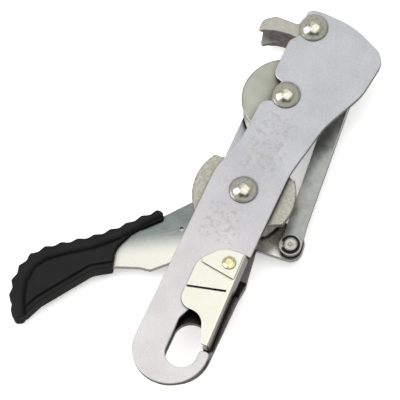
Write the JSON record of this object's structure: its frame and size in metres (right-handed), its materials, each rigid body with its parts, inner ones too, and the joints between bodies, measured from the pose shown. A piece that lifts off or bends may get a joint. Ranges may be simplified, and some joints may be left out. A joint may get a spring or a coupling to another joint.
{
  "type": "self-braking rope descender",
  "caption": "Lever-operated self-braking rope descender: two cheek plates over a grooved bobbin, cam and hooked brake jaw, a gated carabiner eye and a black squeeze grip.",
  "frame": {"origin": "on the main axle, at the end face of its bolt, which is flush with the nuts that the object lies on", "axes": "+Y along the plates towards the rope end, +X towards the link bar, +Z out of the front plate"},
  "size_m": [0.139, 0.2335, 0.0386],
  "materials": {
    "plate_aluminium": "satin anodised sheet with bright broken edges",
    "bobbin_alloy": "turned alloy with fine lathe rings",
    "head_steel": "polished stainless dome, slight turning marks",
    "fastener_steel": "plated steel",
    "lever_steel": "polished stainless sheet, long grain",
    "link_steel": "brushed stainless bar",
    "rocker_steel": "machined stainless, rope-polished underside",
    "cast_steel": "rough investment-cast steel, ground front face",
    "gate_nickel": "nickel-plated folded sheet",
    "spring_steel": "hard-drawn spring wire",
    "rivet_brass": "turned brass",
    "bush_brass": "plain bearing bronze",
    "grip_rubber": "moulded black rubber, semi-matt"
  },
  "bodies": {
    "frame": {"rear_plate": "plate_aluminium", "main_axle": "head_steel", "bobbin_axle": "head_steel", "top_axle": "head_steel", "main_nut": "fastener_steel", "bobbin_nut": "fastener_steel", "top_nut": "fastener_steel", "rear_cam_washer": "fastener_steel", "front_cam_washer": "fastener_steel", "bobbin_washer": "fastener_steel", "rocker_washer": "fastener_steel", "upper_bobbin": "bobbin_alloy", "bobbin_locating_pin": "fastener_steel"},
    "swing_plate": {"front_plate": "plate_aluminium", "gate_rivet": "rivet_brass"},
    "gate_leaf": {"gate": "gate_nickel", "gate_cover": "gate_nickel", "gate_spring": "spring_steel"},
    "lever": {"lever_plate": "lever_steel", "brake_cam": "cast_steel", "cam_bush": "bush_brass", "cam_rivet_1": "fastener_steel", "cam_rivet_2": "fastener_steel", "cam_rivet_3": "fastener_steel", "handle_grip": "grip_rubber", "lower_link_pin": "head_steel", "lower_pin_washer": "fastener_steel", "lower_pin_ring": "spring_steel"},
    "link": {"link_bar": "link_steel"},
    "jaw": {"rocker": "rocker_steel", "rocker_bush": "bush_brass", "upper_link_pin": "head_steel", "upper_pin_ring": "spring_steel"}
  },
  "joints": [
    {"name": "front_plate_swing", "type": "hinge", "parent": "frame", "child": "swing_plate", "pos_m": [0, 0, 0.0315], "axis": [0, 0, 1], "range_deg": [-100, 0]},
    {"name": "gate_open", "type": "hinge", "parent": "swing_plate", "child": "gate_leaf", "pos_m": [0.0105, -0.0431, 0.031], "axis": [0, 0, 1], "range_deg": [-22, 0], "stiffness_Nm_per_rad": 0.01, "springref_deg": 20.05},
    {"name": "lever_squeeze", "type": "hinge", "parent": "frame", "child": "lever", "pos_m": [0, 0, 0.02], "axis": [0, 0, 1], "range_deg": [0, 20]},
    {"name": "jaw_turn", "type": "hinge", "parent": "frame", "child": "jaw", "pos_m": [-0.003, 0.102, 0.02], "axis": [0, 0, 1], "range_deg": [0, 24]},
    {"name": "link_turn", "type": "hinge", "parent": "lever", "child": "link", "pos_m": [0.0325, -0.0138, 0.014], "axis": [0, 0, 1], "range_deg": [-22, 0]}
  ],
  "couplings": [
    {"joint": "jaw_turn", "follows": "lever_squeeze", "ratio": 1.1875},
    {"joint": "link_turn", "follows": "lever_squeeze", "ratio": -1.0675}
  ]
}
